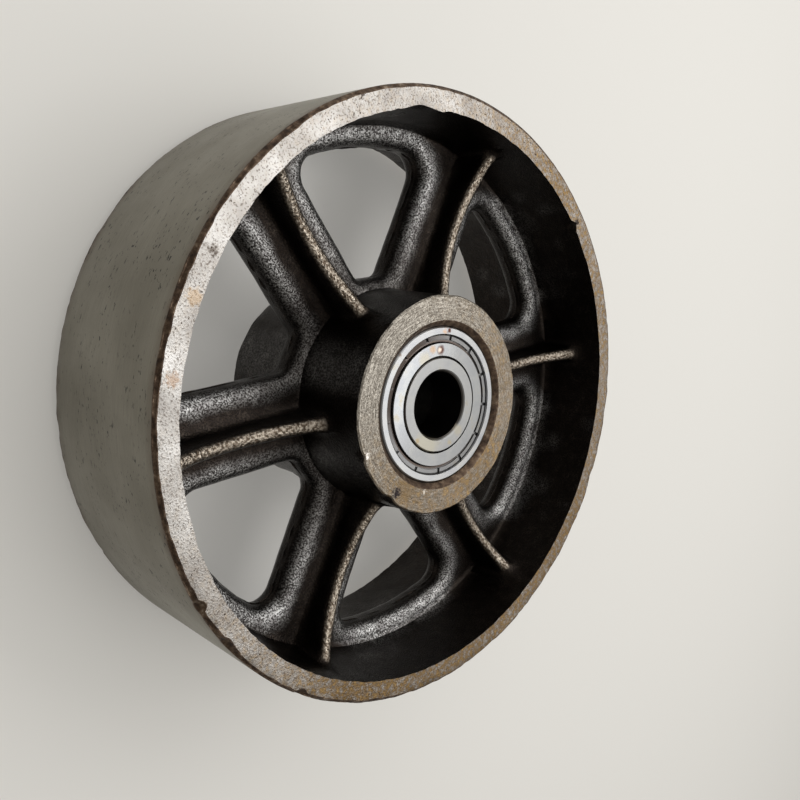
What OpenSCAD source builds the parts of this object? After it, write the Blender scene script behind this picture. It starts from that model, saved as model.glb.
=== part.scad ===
// Cast-iron castor wheel with a shielded ball bearing in each end of its hub.
// Millimetres. The wheel turns about Z, and the origin is the middle of its width.

/* [Rim] */
// Diameter over the machined tread
tread_d = 180; // [170:1:210]
// Width of the rim, face to face
rim_w = 58; // [52:1:66]
// Thickness of the rim where its inner wall meets the face
rim_t = 6.5; // [5.5:0.1:8]
// Taper of the rim's inner wall, in degrees
rim_draft = 3.5; // [1:0.1:5]
// Broken edge between the tread and each face
tread_edge = 0.8; // [0.3:0.1:1.5]
// Radius of the cast fillet between the rim and the web
rim_fillet = 2.2; // [1:0.1:3]

/* [Web] */
// Thickness of the web between its flats
web_t = 11.2; // [10:0.1:12]
// Number of windows, and of ribs on each face
windows = 6; // [5:1:7]
// Width of each spoke between two windows
spoke_w = 26.4; // [24:0.1:30]
// Band of web between a window and the rim's inner wall
rim_band = 6.4; // [5.5:0.1:8]
// Band of web between a window and the hub
hub_band = 3.4; // [3.4:0.1:5]
// Corner radius of a window at the rim
outer_corner = 6; // [5:0.5:8]
// Corner radius of a window at the hub
inner_corner = 4; // [3:0.5:4.5]
// Straight land round a window at mid-width
window_land = 2.4; // [1:0.1:3.5]
// Radius of the cast round on each edge of a window
window_round = 4.6; // [4.4:0.1:5.2]

/* [Ribs] */
// Thickness of a rib at its crest
rib_t = 4.6; // [3.5:0.1:6]
// Taper of a rib's sides, in degrees
rib_draft = 2.5; // [1:0.1:4]
// Height of the crest above mid-width at its lowest point
rib_low = 13.7; // [11:0.1:16]
// Height of the crest above mid-width where it meets the rim
rib_high = 19.4; // [17.5:0.1:23]
// Radius at which the crest is lowest
rib_low_at = 57.5; // [54:0.5:61]
// Radius of the cast fillet at a rib's foot
rib_fillet = 3; // [2:0.1:4]

/* [Hub] */
// Length of the hub over its machined faces
hub_l = 63; // [60:0.5:72]
// Diameter of a hub face
hub_d = 64.8; // [60:0.1:68]
// Taper of the hub's barrel, in degrees
hub_draft = 1.5; // [0.5:0.1:3]
// Broken edge round a hub face
hub_edge = 0.4; // [0.2:0.1:0.8]
// Bore through the hub between the bearing seats
core_d = 40; // [34:0.5:42]
// Depth of a bearing's face below the hub face
bearing_set = 1; // [0.5:0.1:1.5]
// Chamfer at the mouth of a bearing seat
seat_chamfer = 1.4; // [0.8:0.1:1.6]

/* [Bearings] */
// Bore of the bearings, for the axle
axle_d = 20; // [17:0.5:21]
// Outside diameter of the bearings
bearing_d = 47; // [46:0.5:50]
// Width of a bearing
bearing_w = 14; // [13:0.5:15]
// Outside diameter of an inner ring
inner_ring_d = 28.4; // [27:0.1:29]
// Diameter of an outer ring's shoulders
outer_shoulder_d = 38; // [37:0.1:39]
// Diameter of a ball
ball_d = 7.938; // [7.5:0.001:8.2]
// Number of balls in a bearing
balls = 8; // [7:1:8]
// Running clearance between a ball and its races
ball_gap = 0.03; // [0.01:0.01:0.05]
// Corner radius of the rings at the bore and at the seat
ring_corner = 0.7; // [0.4:0.1:1]

/* [Shields] */
// Diameter of the recess that takes a shield
shield_seat_d = 42.1; // [41.8:0.1:42.4]
// Diameter of the raised flat of a shield
shield_flat_d = 36.6; // [35:0.1:37]
// Running gap between a shield and its inner ring
shield_gap = 0.4; // [0.25:0.05:0.6]
// Thickness of the shield's sheet
shield_t = 0.4; // [0.3:0.05:0.5]
// Depth of the raised flat below the bearing's face
shield_set = 0.3; // [0.2:0.05:0.5]
// Depth of the step between the flat and the crimped edge
shield_step = 0.9; // [0.6:0.05:1]
// Notches in the crimped edge
notches = 13; // [10:1:16]
// Direction of the first notch, in degrees
notch_start = 20.7; // [0:0.1:27]

/* [Cage] */
// Radial width of the pressed cage
cage_w = 3.2; // [2.4:0.1:3.6]
// Thickness of the cage's sheet
cage_t = 0.5; // [0.4:0.05:0.6]
// Clearance between a ball and its pocket
pocket_gap = 0.12; // [0.08:0.01:0.15]
// Diameter of a rivet's shank
rivet_d = 1; // [0.8:0.1:1.1]

/* [Spacer] */
// Outside diameter of the tube between the inner rings
spacer_d = 27; // [25:0.5:28]
// Bore of the tube between the inner rings
spacer_bore = 20.6; // [20.4:0.1:22]

/* [Hidden] */
ENDS = ["front", "rear"];

$fn = 96;
far = tread_d;          // longer than anything that it cuts
lap = 1;                // depth by which cast features run into each other

// Rim and web
tread_r = tread_d / 2;
rim_r = tread_r - rim_t;
web_h = web_t / 2;
wall_r = rim_r - (rim_w / 2 - web_h) * tan(rim_draft);
pitch = 360 / windows;
half_pitch = pitch / 2;

// Hub and bearing seats
hub_h = hub_l / 2;
hub_r = hub_d / 2;
barrel_r = hub_r + (hub_h - web_h) * tan(hub_draft);
seat_r = bearing_d / 2;
bearing_z = hub_h - bearing_set - bearing_w / 2;
spacer_l = 2 * bearing_z - bearing_w;

// Window outline: corner centres in polar form about the wheel's axis, with the window on +X
land_h = window_land / 2;
round_turn = asin((web_h - land_h) / window_round);
round_steps = 5;
round_over = 0.05;      // share of the last chord by which a window's cutter passes the web's face
side = spoke_w / 2;
outer_r = wall_r - rim_band;
outer_at = outer_r - outer_corner;
outer_turn = half_pitch - asin((side + outer_corner) / outer_at);
inner_x = barrel_r + hub_band + inner_corner;
inner_y = (inner_x * sin(half_pitch) - side - inner_corner) / cos(half_pitch);
corner_steps = 6;
arc_steps = 8;

// Rib crest: an arc that is lowest at rib_low_at and rises to rib_high at the rim
crest_half = wall_r - rib_low_at;
crest_rise = rib_high - rib_low;
crest_r = (pow(crest_half, 2) + pow(crest_rise, 2)) / (2 * crest_rise);
crest_z = rib_low + crest_r;
fillet_steps = 5;
fillet_sink = 0.1;

// Bearing races
ball_r = ball_d / 2;
shoulder_r = outer_shoulder_d / 2;
inner_ring_r = inner_ring_d / 2;
ball_at = (seat_r + axle_d / 2) / 2;
race_r = 0.52 * ball_d; // a race hugs its ball a little loosely
race_offset = race_r - ball_r - ball_gap;
half_w = bearing_w / 2;

// Shield and cage
flat_z = half_w - shield_set;
brim_z = flat_z - shield_step;
shield_in_r = inner_ring_r + shield_gap;
flat_r = shield_flat_d / 2;
seat_in_r = shield_seat_d / 2;
groove = 0.35;          // depth of the snap groove beyond the recess
rim_gap = 0.05;         // clearance of the crimped edge in its groove
lip_w = 1.1;            // radial width of the crimped edge's crown
lip_h = 0.6;            // height of the crown above the brim
lip_fall = 0.55;        // radial width of the crown's slope inside the recess
lip_edge = 0.15;        // height of the slope above the brim where it ends in the groove
lip_room = 0.35;        // height of the snap groove above the brim
notch_w = 0.9;          // width of a notch in the crimped edge
pocket_r = ball_r + pocket_gap;
cup_r = pocket_r + cage_t;
rivet_head = 0.35;      // height of a rivet's head
head_ratio = 1.7;       // a rivet head's diameter over its shank's

// Places copies of a feature evenly about the wheel's axis
module around(count, start = 0) {
    for (k = [0:count - 1]) rotate(start + 360 * k / count) children();
}

// The same feature on the front and on the rear
module both_faces() {
    children();
    mirror([0, 0, 1]) children();
}

// The points of a section's lower half, in the order that closes its outline
function mirrored(points) = [for (i = [len(points) - 1:-1:0]) [points[i].x, -points[i].y]];

function polar(r, turn) = r * [cos(turn), sin(turn)];

// A window's outline grown by d: two corners at the hub, two at the rim and the arc between these
function window_outline(d) = concat(
    [for (i = [0:corner_steps]) [inner_x, -inner_y]
        + polar(inner_corner + d, 180 + i * (90 - half_pitch) / corner_steps)],
    [for (i = [0:corner_steps]) polar(outer_at, -outer_turn)
        + polar(outer_corner + d, 270 - half_pitch + i * (90 + half_pitch - outer_turn) / corner_steps)],
    [for (i = [1:arc_steps - 1]) polar(outer_r + d, outer_turn * (2 * i / arc_steps - 1))],
    [for (i = [0:corner_steps]) polar(outer_at, outer_turn)
        + polar(outer_corner + d, outer_turn + i * (90 + half_pitch - outer_turn) / corner_steps)],
    [for (i = [0:corner_steps]) [inner_x, inner_y]
        + polar(inner_corner + d, 90 + half_pitch + i * (90 - half_pitch) / corner_steps)]
);

// The space of one window, on +X: the outline grows over the cast round on each of its edges
module window_space() {
    arc = [for (i = [0:round_steps])
        let (turn = round_turn * i / round_steps)
        [window_round * (1 - cos(turn)), land_h + window_round * sin(turn)]];
    crest = arc[round_steps] + round_over * (arc[round_steps] - arc[round_steps - 1]);
    upper = concat([[crest.x, web_h + lap], crest], [for (i = [round_steps - 1:-1:0]) arc[i]]);
    levels = concat(upper, mirrored(upper));
    n = len(window_outline(0));
    rings = len(levels);
    points = [for (v = levels, p = window_outline(v.x)) [p.x, p.y, v.y]];
    walls = [for (k = [0:rings - 2], i = [0:n - 1])
        let (j = (i + 1) % n) [k * n + i, k * n + j, (k + 1) * n + j, (k + 1) * n + i]];
    caps = [[for (i = [n - 1:-1:0]) i], [for (i = [0:n - 1]) (rings - 1) * n + i]];
    polyhedron(points, concat(walls, caps));
}

// A cast fillet as chords in the corner of a floor that runs to -x and a wall that runs to +y. It starts
// a little under the floor, so that it runs out at a clear angle.
function fillet_points(r) = [
    for (i = [0:fillet_steps - 1])
        let (turn = 90 * i / fillet_steps)
        [r * (sin(turn) - 1), r * (1 - cos(turn)) - fillet_sink]
];

// Rim, web and hub as one turned profile, from the fillet under the rim round to the hub's face
module wheel_blank() {
    face = rim_w / 2;
    upper = concat(
        [[0, hub_h], [hub_r - hub_edge, hub_h], [hub_r, hub_h - hub_edge], [barrel_r, web_h]],
        [for (p = fillet_points(rim_fillet)) [wall_r, web_h] + p + [0, fillet_sink]],
        [[wall_r + rim_fillet * tan(rim_draft), web_h + rim_fillet], [rim_r, face]],
        [[tread_r - tread_edge, face], [tread_r, face - tread_edge]]
    );
    rotate_extrude($fn = 180) polygon(concat(upper, mirrored(upper)));
}

// A rib on the +Z face along +X: its section turns about the centre of the crest's arc
module rib() {
    depth = crest_z - crest_r + crest_rise;
    intersection() {
        translate([rib_low_at, 0, crest_z]) rotate([90, 0, 0]) rotate(180) rotate_extrude(angle = 180, $fn = 180)
            translate([crest_r + rib_t / 2, 0]) {
                circle(rib_t / 2, $fn = 48);
                polygon([
                    [0, -rib_t / 2], [depth, -rib_t / 2 - depth * tan(rib_draft)],
                    [depth, rib_t / 2 + depth * tan(rib_draft)], [0, rib_t / 2]
                ]);
            }
        translate([core_d / 2 + lap, -far / 2, 0]) cube([wall_r + lap - core_d / 2, far, hub_h]);
    }
}

// The cast fillets along both sides of a rib's foot
module rib_foot_fillets() {
    corner = [-rib_t / 2, web_h];
    left = concat(
        [corner - [rib_fillet, web_h]],
        [for (p = fillet_points(rib_fillet)) corner + p],
        [corner + [0, rib_fillet]]
    );
    right = [for (i = [len(left) - 1:-1:0]) [-left[i].x, left[i].y]];
    translate([core_d / 2 + lap, 0, 0]) rotate([90, 0, 90])
        linear_extrude(wall_r - core_d / 2) polygon(concat(left, right));
}

module wheel_casting() {
    color("#3b3733") difference() {
        union() {
            difference() {
                wheel_blank();
                around(windows, half_pitch) window_space();
            }
            both_faces() around(windows) {
                rib();
                rib_foot_fillets();
            }
        }
        bearing_seats();
    }
}

// Bearing seats, their chamfered mouths and the cored bore between them
module bearing_seats() {
    depth = bearing_set + bearing_w;
    cylinder(h = hub_l, r = core_d / 2, center = true);
    both_faces() {
        translate([0, 0, hub_h - depth]) cylinder(h = depth + lap, r = seat_r);
        translate([0, 0, hub_h - seat_chamfer]) cylinder(h = seat_chamfer, r1 = seat_r, r2 = seat_r + seat_chamfer);
    }
}

module spacer_tube() {
    color("#8a8d90") difference() {
        cylinder(h = spacer_l, d = spacer_d, center = true);
        cylinder(h = spacer_l + 2 * lap, d = spacer_bore, center = true);
    }
}

// Puts a bearing piece, made about the bearing's centre with its outer side up, at one end of the hub
module at_end(end) {
    mirror([0, 0, end == "front" ? 0 : 1]) translate([0, 0, bearing_z]) children();
}

module outer_ring() {
    color("#c9cccf") rotate_extrude($fn = 180) for (m = [0, 1]) mirror([0, m]) difference() {
        polygon([
            [shoulder_r, 0], [seat_r, 0], [seat_r, half_w - ring_corner],
            [seat_r - ring_corner, half_w], [shoulder_r, half_w]
        ]);
        translate([ball_at - race_offset, 0]) circle(race_r);
        shield_recess();
    }
}

// The recess for a shield, with the snap groove at its foot
module shield_recess() {
    foot = brim_z - shield_t - rim_gap;
    translate([0, foot]) square([seat_in_r, far]);
    translate([0, foot]) square([seat_in_r + groove, shield_t + lip_room + 2 * rim_gap]);
}

module inner_ring() {
    bore = axle_d / 2;
    color("#d3d6d8") rotate_extrude($fn = 180) for (m = [0, 1]) mirror([0, m]) difference() {
        polygon([
            [bore, 0], [inner_ring_r, 0], [inner_ring_r, half_w - ring_corner / 2],
            [inner_ring_r - ring_corner / 2, half_w], [bore + ring_corner, half_w], [bore, half_w - ring_corner]
        ]);
        translate([ball_at + race_offset, 0]) circle(race_r);
    }
}

// A pressed shield: raised flat, step, brim and an edge curled into the groove and notched
module shield() {
    edge = seat_in_r + groove - rim_gap;
    crown_r = seat_in_r - lip_fall;
    inside = crown_r - lip_w;
    color("#dfe1e2") difference() {
        rotate_extrude($fn = 180) polygon([
            [shield_in_r, flat_z], [flat_r, flat_z], [flat_r + shield_t, brim_z],
            [inside, brim_z], [inside, brim_z + lip_h], [crown_r, brim_z + lip_h], [edge, brim_z + lip_edge],
            [edge, brim_z - shield_t], [flat_r, brim_z - shield_t],
            [flat_r - shield_t, flat_z - shield_t], [shield_in_r, flat_z - shield_t]
        ]);
        around(notches, notch_start) translate([inside - rim_gap, -notch_w / 2, brim_z]) cube([far, notch_w, far]);
    }
}

// Half of the cage: a flat ring with a cup over each ball, on the side of +Z
module cage_half() {
    color("#9a7b4a") difference() {
        intersection() {
            difference() {
                cylinder(h = cup_r, r = ball_at + cage_w / 2);
                translate([0, 0, -lap]) cylinder(h = cup_r + 2 * lap, r = ball_at - cage_w / 2);
            }
            union() {
                cylinder(h = cage_t, r = ball_at + cage_w);
                around(balls) translate([ball_at, 0, 0]) sphere(cup_r);
            }
        }
        around(balls) translate([ball_at, 0, 0]) sphere(pocket_r);
        around(balls, 180 / balls) translate([ball_at, 0, -lap]) cylinder(h = cup_r, d = rivet_d, $fn = 24);
    }
}

module cage_rivets() {
    color("#8c8a86") around(balls, 180 / balls) translate([ball_at, 0, 0]) {
        cylinder(h = 2 * cage_t, d = rivet_d, center = true, $fn = 24);
        both_faces() translate([0, 0, cage_t]) cylinder(h = rivet_head, d = head_ratio * rivet_d, $fn = 24);
    }
}

module ball(k) {
    color("#e4e6e8") rotate(360 * (k - 1) / balls) translate([ball_at, 0, 0]) sphere(ball_r);
}

wheel_casting();
spacer_tube();
for (end = ENDS) {
    at_end(end) outer_ring();
    at_end(end) inner_ring();
    at_end(end) shield();
    at_end(end) mirror([0, 0, 1]) shield();
    at_end(end) cage_half();
    at_end(end) mirror([0, 0, 1]) cage_half();
    at_end(end) cage_rivets();
    for (k = [1:balls]) {
        at_end(end) ball(k);
    }
}
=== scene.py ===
"""Looks of a cast-iron castor wheel with ball bearings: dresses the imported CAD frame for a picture."""
import functools
import itertools
import math

import bpy
import numpy as np
from mathutils import Matrix, Vector


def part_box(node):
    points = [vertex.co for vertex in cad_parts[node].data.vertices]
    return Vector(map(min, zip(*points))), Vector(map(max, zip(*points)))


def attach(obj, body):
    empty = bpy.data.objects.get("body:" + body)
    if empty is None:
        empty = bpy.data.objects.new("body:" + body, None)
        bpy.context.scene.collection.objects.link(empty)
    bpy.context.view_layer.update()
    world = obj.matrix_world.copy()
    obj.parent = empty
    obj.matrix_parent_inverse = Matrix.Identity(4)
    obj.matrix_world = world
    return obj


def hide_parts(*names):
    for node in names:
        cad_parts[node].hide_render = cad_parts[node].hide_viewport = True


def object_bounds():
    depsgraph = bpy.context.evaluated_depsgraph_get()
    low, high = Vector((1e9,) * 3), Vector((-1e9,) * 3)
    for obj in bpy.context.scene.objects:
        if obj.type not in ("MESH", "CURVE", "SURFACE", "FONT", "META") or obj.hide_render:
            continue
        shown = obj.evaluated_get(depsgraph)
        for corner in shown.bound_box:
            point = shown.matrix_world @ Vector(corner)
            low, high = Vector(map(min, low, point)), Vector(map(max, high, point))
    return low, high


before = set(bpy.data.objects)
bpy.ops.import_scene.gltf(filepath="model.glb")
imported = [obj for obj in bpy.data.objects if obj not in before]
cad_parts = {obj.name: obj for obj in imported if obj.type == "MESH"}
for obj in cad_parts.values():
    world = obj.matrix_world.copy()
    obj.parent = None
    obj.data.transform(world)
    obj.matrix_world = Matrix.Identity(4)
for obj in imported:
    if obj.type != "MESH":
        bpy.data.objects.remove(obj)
CAD_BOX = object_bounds()

bl_info = {
    "name": "Cast-iron castor wheel",
    "version": (1, 0, 0),
    "blender": (4, 5, 0),
    "location": "3D View > Sidebar > Castor Wheel",
    "description": "Dresses the CAD castor wheel with iron and steel finishes on a plain stage",
    "category": "Object",
}

MM = 0.001
SECTORS = 6
HALF_SECTOR = math.radians(30)
TAU = 2 * math.pi

# Sizes that dressed pieces share with the CAD frame, in millimetres, read from its solids where possible
TREAD_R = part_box("wheel_casting")[1].x / MM
HUB_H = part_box("wheel_casting")[1].z / MM
BEARING_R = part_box("front_outer_ring")[1].x / MM
BEARING_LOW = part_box("front_outer_ring")[0].z / MM
FACE_Z = 29.0
RIM_R = 83.5
RIM_SLOPE = math.tan(math.radians(3.5))
WEB_H = 5.6
HUB_R = 32.4
HUB_SLOPE = math.tan(math.radians(1.5))
HUB_EDGE = 0.4
WALL_R = RIM_R - (FACE_Z - WEB_H) * RIM_SLOPE
BARREL_R = HUB_R + (HUB_H - WEB_H) * HUB_SLOPE
CORE_R = 20.0
SEAT_CHAMFER = 1.4
SPOKE_SIDE = 13.2
RIM_BAND = 6.4
HUB_BAND = 3.4
OUTER_CORNER = 6.0
INNER_CORNER = 4.0
LAND_H = 1.2
ROUND = WEB_H - LAND_H
RIB_HALF = 2.3
RIB_SLOPE = math.tan(math.radians(2.5))
RIB_LOW_AT = 57.5
RIB_LOW = 13.7
RIB_HIGH = 19.4

OUTER_R = WALL_R - RIM_BAND
OUTER_AT = OUTER_R - OUTER_CORNER
OUTER_TURN = HALF_SECTOR - math.asin((SPOKE_SIDE + OUTER_CORNER) / OUTER_AT)
INNER_X = BARREL_R + HUB_BAND + INNER_CORNER
INNER_Y = (INNER_X * math.sin(HALF_SECTOR) - SPOKE_SIDE - INNER_CORNER) / math.cos(HALF_SECTOR)
RIB_RISE = RIB_HIGH - RIB_LOW
RIB_ARC = ((WALL_R - RIB_LOW_AT) ** 2 + RIB_RISE**2) / (2 * RIB_RISE)

# Cast fillets where two forms meet
RIM_RIB, HUB_RIB, RIM_WEB, RIB_WEB, HUB_WEB = 3.4, 2.6, 2.4, 3.2, 0.7

# Steps round one window's loops: along the rim, along each spoke and along the hub, those of a spoke that
# climb the upright walls, and those that ease to the rim's and the hub's share of a round's width. Then
# those shares, and the steps at which the hub's side starts and stops
N_RIM, N_SIDE, N_HUB = 72, 38, 32
CLIMB = 7
EASE = 10
RIM_SHARE, HUB_SHARE = 0.85, 0.68
HUB_START, HUB_STOP = N_RIM + N_SIDE, N_RIM + N_SIDE + N_HUB

# Where rings stand: heights of the upright walls' foot and middle, how far rings at the foot bow off rib,
# rim and hub, radii on the rim's and hub's faces, and heights on the tread
FOOT_H, MIDDLE_H = 3.0, 16.5
RIB_BOW, RIM_BOW, HUB_BOW = 3.0, 2.0, 0.12
RIM_FACE_RINGS, HUB_FACE_RINGS = (85.9, 86.8), (29.6, 27.4)
TREAD_RINGS = (24.5, 20, 14, 7)
FACE_MARGIN, TREAD_MARGIN = 0.35, 0.4
CORE_RING = 6
# Points of neighbouring sectors are one point where they share a cell, counted in cells per millimetre
WELD_CELLS = 500
# Faces that meet at a wider angle than this are shaded with a sharp edge
SHARP = math.radians(38)

# Layers of smooth noise: share, size in millimetres and seed
RELIEF = ((0.55, 14, 1), (0.3, 5, 2), (0.2, 2.1, 3))
RIM_RAGGED = ((0.3, 6, 5), (0.5, 1.9, 6))
HUB_RAGGED = ((0.45, 4, 7), (0.35, 1.7, 8))
CHAMFER_WAVE = ((0.22, 9, 11), (0.2, 2.6, 12))
CHAMFER_CHIPS = ((0.22, 1.6, 31), (0.2, 3.7, 32))

# Humps round the wheel where the photograph shows them: direction and width in degrees, and height, which
# is how far out an edge moves, in millimetres, or the strength of tarnish and painted shade
RIM_NOTCHES = ((94.2, 0.9, 1.9), (150, 2.4, 0.9), (144.5, 1.8, -0.5))
HUB_DENTS = ((-106, 2.2, -0.6), (-75.5, 3.0, -0.9))
# Humps of tarnish; those at -58 and -62 degrees also paint shade towards the bottom
RIM_TARNISH_AND_SHADE = ((108, 30, 0.35), (-58, 28, 0.4))
HUB_TARNISH_AND_SHADE = ((-62, 40, 0.35),)

# Finishes of the casting's faces, in the order of its materials
SKIN, FACE, TREAD, BROKEN = range(4)

# The photograph's view, in millimetres and degrees
CAMERA_AT = (-137.12, -114.90, 200.48)
CAMERA_TO = (10.24, 7.42, 0.0)
CAMERA_ROLL = 101.27

# Soft lamps: name, place in millimetres, size in metres and power in watts. Each looks at the wheel
LIGHTS = (
    ("window", (70, 480, 640), 0.42, 2.0),
    ("sky", (330, 190, 660), 0.5, 1.5),
    ("above", (-30, 40, 800), 0.35, 0.7),
    ("room", (-520, 520, 450), 0.8, 2.8),
)

# Light from all round, and how far the floor reaches and how far below the wheel it lies, in metres
WORLD_COLOUR, WORLD_STRENGTH = "#e9e6e0", 0.5
FLOOR_REACH, FLOOR_GAP = 6.0, 0.0002

# How strong each finer layer of a pattern is, in most of them, and the pitch of the turning tool in
# millimetres, drawn coarse enough to show
EVEN = 0.55
TOOL_PITCH = 0.36

# Where a cover of a finish starts and is full, in metres: radii of the hub's faces, of the inner rings'
# faces, of painted shade in their bores, in the gap under a shield's edge and in the outer rings' corners,
# of the two sides of the film and painted shade in a shield's step and of the painted shade at its rim,
# and heights of brown on the tread
HUB_FACES = (0.034, 0.033)
INNER_RINGS = (0.0165, 0.016)
BORES = (0.0105, 0.0103)
SHIELD_GAPS = (0.0138, 0.014)
RING_CORNERS = (0.023, 0.0232)
STEP_IN, STEP_OUT = (0.01828, 0.01845), (0.01945, 0.0191)
SHIELD_RIMS = (0.0191, 0.0194)
TREAD_EDGES = (0.0245, 0.0285)

# Marks that the photograph shows: place and size in millimetres, colour and strength. A later mark lies
# over an earlier one
FACE_MARKS = (
    ((9.8, -24.7, 31.5), 4.4, "#7a664a", 0.6),
    ((8.3, -28.2, 31.5), 1.5, "#2b272b", 0.95),
    ((-8.5, -29.7, 31.5), 0.8, "#efe9e2", 0.9),
    ((16.1, -20.4, 31.5), 0.6, "#d8cfc2", 0.7),
    ((-84.9, 25.5, 29.0), 0.8, "#3a3029", 0.85),
    ((-78.9, -33.8, 29.0), 1.3, "#453a31", 0.85),
    ((-6.3, 85.5, 29.0), 1.1, "#2c2420", 0.9),
    ((-73.3, -44.0, 29.0), 2.2, "#a5875f", 0.5),
    ((-61.9, -59.7, 29.0), 1.8, "#957250", 0.55),
)
RING_MARKS = (
    ((-16.8, 13.8, 30.5), 0.8, "#b98a5a", 0.5),
    ((-15.9, 15.3, 30.5), 0.75, "#461f0f", 0.95),
    ((-22.5, -3.7, 30.5), 0.45, "#6b5a48", 0.7),
    ((6.0, -11.5, 30.5), 5.0, "#a39c86", 0.5),
    ((2.4, -13.0, 30.5), 0.8, "#93805a", 0.6),
    ((12.1, -3.5, 30.5), 0.9, "#978a6a", 0.5),
    ((11.6, 1.4, 30.2), 1.8, "#9c9480", 0.5),
)
SHIELD_MARKS = (
    ((-14.9, 3.0, 30.2), 2.4, "#a89f87", 0.5),
    ((-15.5, 7.2, 30.2), 1.3, "#ab8450", 0.5),
    ((-13.2, 9.7, 30.2), 1.45, "#461f0f", 0.95),
    # A painted highlight in the drop of rust
    ((-13.5, 9.35, 30.2), 0.75, "#c9bcae", 0.9),
)


class CastingLook(bpy.types.PropertyGroup):
    """How rough the casting and its turned edges are."""
    relief: bpy.props.FloatProperty(
        name="Skin relief", description="Unevenness of the sand-cast skin",
        default=0.28 * MM, unit="LENGTH")
    ragged: bpy.props.FloatProperty(
        name="Ragged edges", description="How far turned edges break into the cast skin",
        default=0.32 * MM, unit="LENGTH")
    chips: bpy.props.FloatProperty(
        name="Edge chips", description="Depth of the chips along the tread's edges",
        default=1.5 * MM, unit="LENGTH")
    flash: bpy.props.FloatProperty(
        name="Parting flash", description="Height of the flash in the windows",
        default=0.35 * MM, unit="LENGTH")


class BearingLook(bpy.types.PropertyGroup):
    """How worn and dirty the bearings are."""
    edge: bpy.props.FloatProperty(
        name="Edges", description="Radius to which the bearings' edges look rounded",
        default=0.14 * MM, unit="LENGTH")
    # Strength of the brown film and painted shade in a shield's step
    grime_and_shade: bpy.props.FloatProperty(
        name="Grime", description="Dark film in the step of a shield",
        default=0.85, subtype="FACTOR", min=0, max=1)


class StageLook(bpy.types.PropertyGroup):
    """The floor and the lens of the picture."""
    floor: bpy.props.FloatVectorProperty(
        name="Floor", description="Colour of the floor",
        default=(0.7, 0.684, 0.646), subtype="COLOR", size=3)
    lift: bpy.props.FloatProperty(
        name="Lift", description="Share of its colour that the floor shows in shadow too",
        default=0.32, subtype="FACTOR", min=0, max=1)
    lens: bpy.props.FloatProperty(
        name="Lens", description="Focal length in millimetres", default=37.58, unit="CAMERA")


def smooth_noise(points, size, seed):
    """A smooth random field from -1 to 1: a hashed value at each corner of a cubic lattice of that size,
    blended inside each cell by the quintic step 6f^5 - 15f^4 + 10f^3."""
    scaled = points / size
    cell = np.floor(scaled).astype(np.int64)
    f = scaled - cell
    f = f**3 * (f * (6 * f - 15) + 10)
    total = np.zeros(len(points))
    for corner in itertools.product((0, 1), repeat=3):
        key = cell + corner
        hashed = key[:, 0] * 73856093 ^ key[:, 1] * 19349663 ^ key[:, 2] * 83492791 ^ seed * 40503
        hashed = (hashed ^ (hashed >> 13)) * 1274126177 & 0x7FFFFFFF
        hashed = (hashed ^ (hashed >> 15)) * 668265263 & 0x7FFFFFFF
        value = (hashed >> 7 & 0xFFFF) / 32767.5 - 1
        total += value * np.prod(np.where(corner, f, 1 - f), axis=1)
    return total


def layered(points, layers):
    """The sum of layers of smooth noise, each a share, a size and a seed."""
    return sum(share * smooth_noise(points, size, seed) for share, size, seed in layers)


def polar(radius, turn):
    """Points at those radii and directions about the wheel's axis."""
    return np.stack(np.broadcast_arrays(radius * np.cos(turn), radius * np.sin(turn)), axis=-1)


def off_axis(points):
    """Distance of points from the wheel's axis."""
    return np.hypot(points[:, 0], points[:, 1])


def evenly(points, count):
    """count + 1 points along a polyline, at equal steps of its length."""
    length = np.concatenate([[0], np.cumsum(np.linalg.norm(np.diff(points, axis=0), axis=1))])
    at = np.linspace(0, length[-1], count + 1)
    return np.stack([np.interp(at, length, points[:, k]) for k in (0, 1)], axis=-1)


def mirrored(points):
    """Points mirrored in the line along +X, in the opposite order."""
    return (points * (1, -1))[::-1]


def closed_loop(rim, spoke, hub):
    """One loop of a side at the rim, a spoke, a side at the hub and the other spoke."""
    return np.concatenate([side[:-1] for side in (rim, spoke, hub, mirrored(spoke))])


def window_loop(grown):
    """A window's outline, grown by that much, in the sector about +X: corners at the rim about OUTER_AT and
    +-OUTER_TURN, corners at the hub about (INNER_X, +-INNER_Y), and straight sides. It starts in the middle
    of the lower rim corner, and each of its four sides has even steps of its own."""
    def arc(centre, radius, start, stop):
        """Points along an arc about a corner's centre."""
        return centre + polar(radius, np.linspace(start, stop, 24))
    side = HALF_SECTOR + math.pi / 2
    rim_mid, hub_mid = (OUTER_TURN + side) / 2, (side + math.pi) / 2
    rim_c, hub_c = polar(OUTER_AT, OUTER_TURN), np.array([INNER_X, INNER_Y])
    half_rim = np.concatenate([
        polar(OUTER_R + grown, np.linspace(0, OUTER_TURN, 24)),
        arc(rim_c, OUTER_CORNER + grown, OUTER_TURN, rim_mid)])
    spoke = np.concatenate([
        arc(rim_c, OUTER_CORNER + grown, rim_mid, side), arc(hub_c, INNER_CORNER + grown, side, hub_mid)])
    half_hub = np.concatenate([
        arc(hub_c, INNER_CORNER + grown, hub_mid, math.pi), [[INNER_X - INNER_CORNER - grown, 0]]])
    rim = evenly(np.concatenate([mirrored(half_rim), half_rim]), N_RIM)
    hub = evenly(np.concatenate([half_hub, mirrored(half_hub)]), N_HUB)
    return closed_loop(rim, evenly(spoke, N_SIDE), hub)


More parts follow.
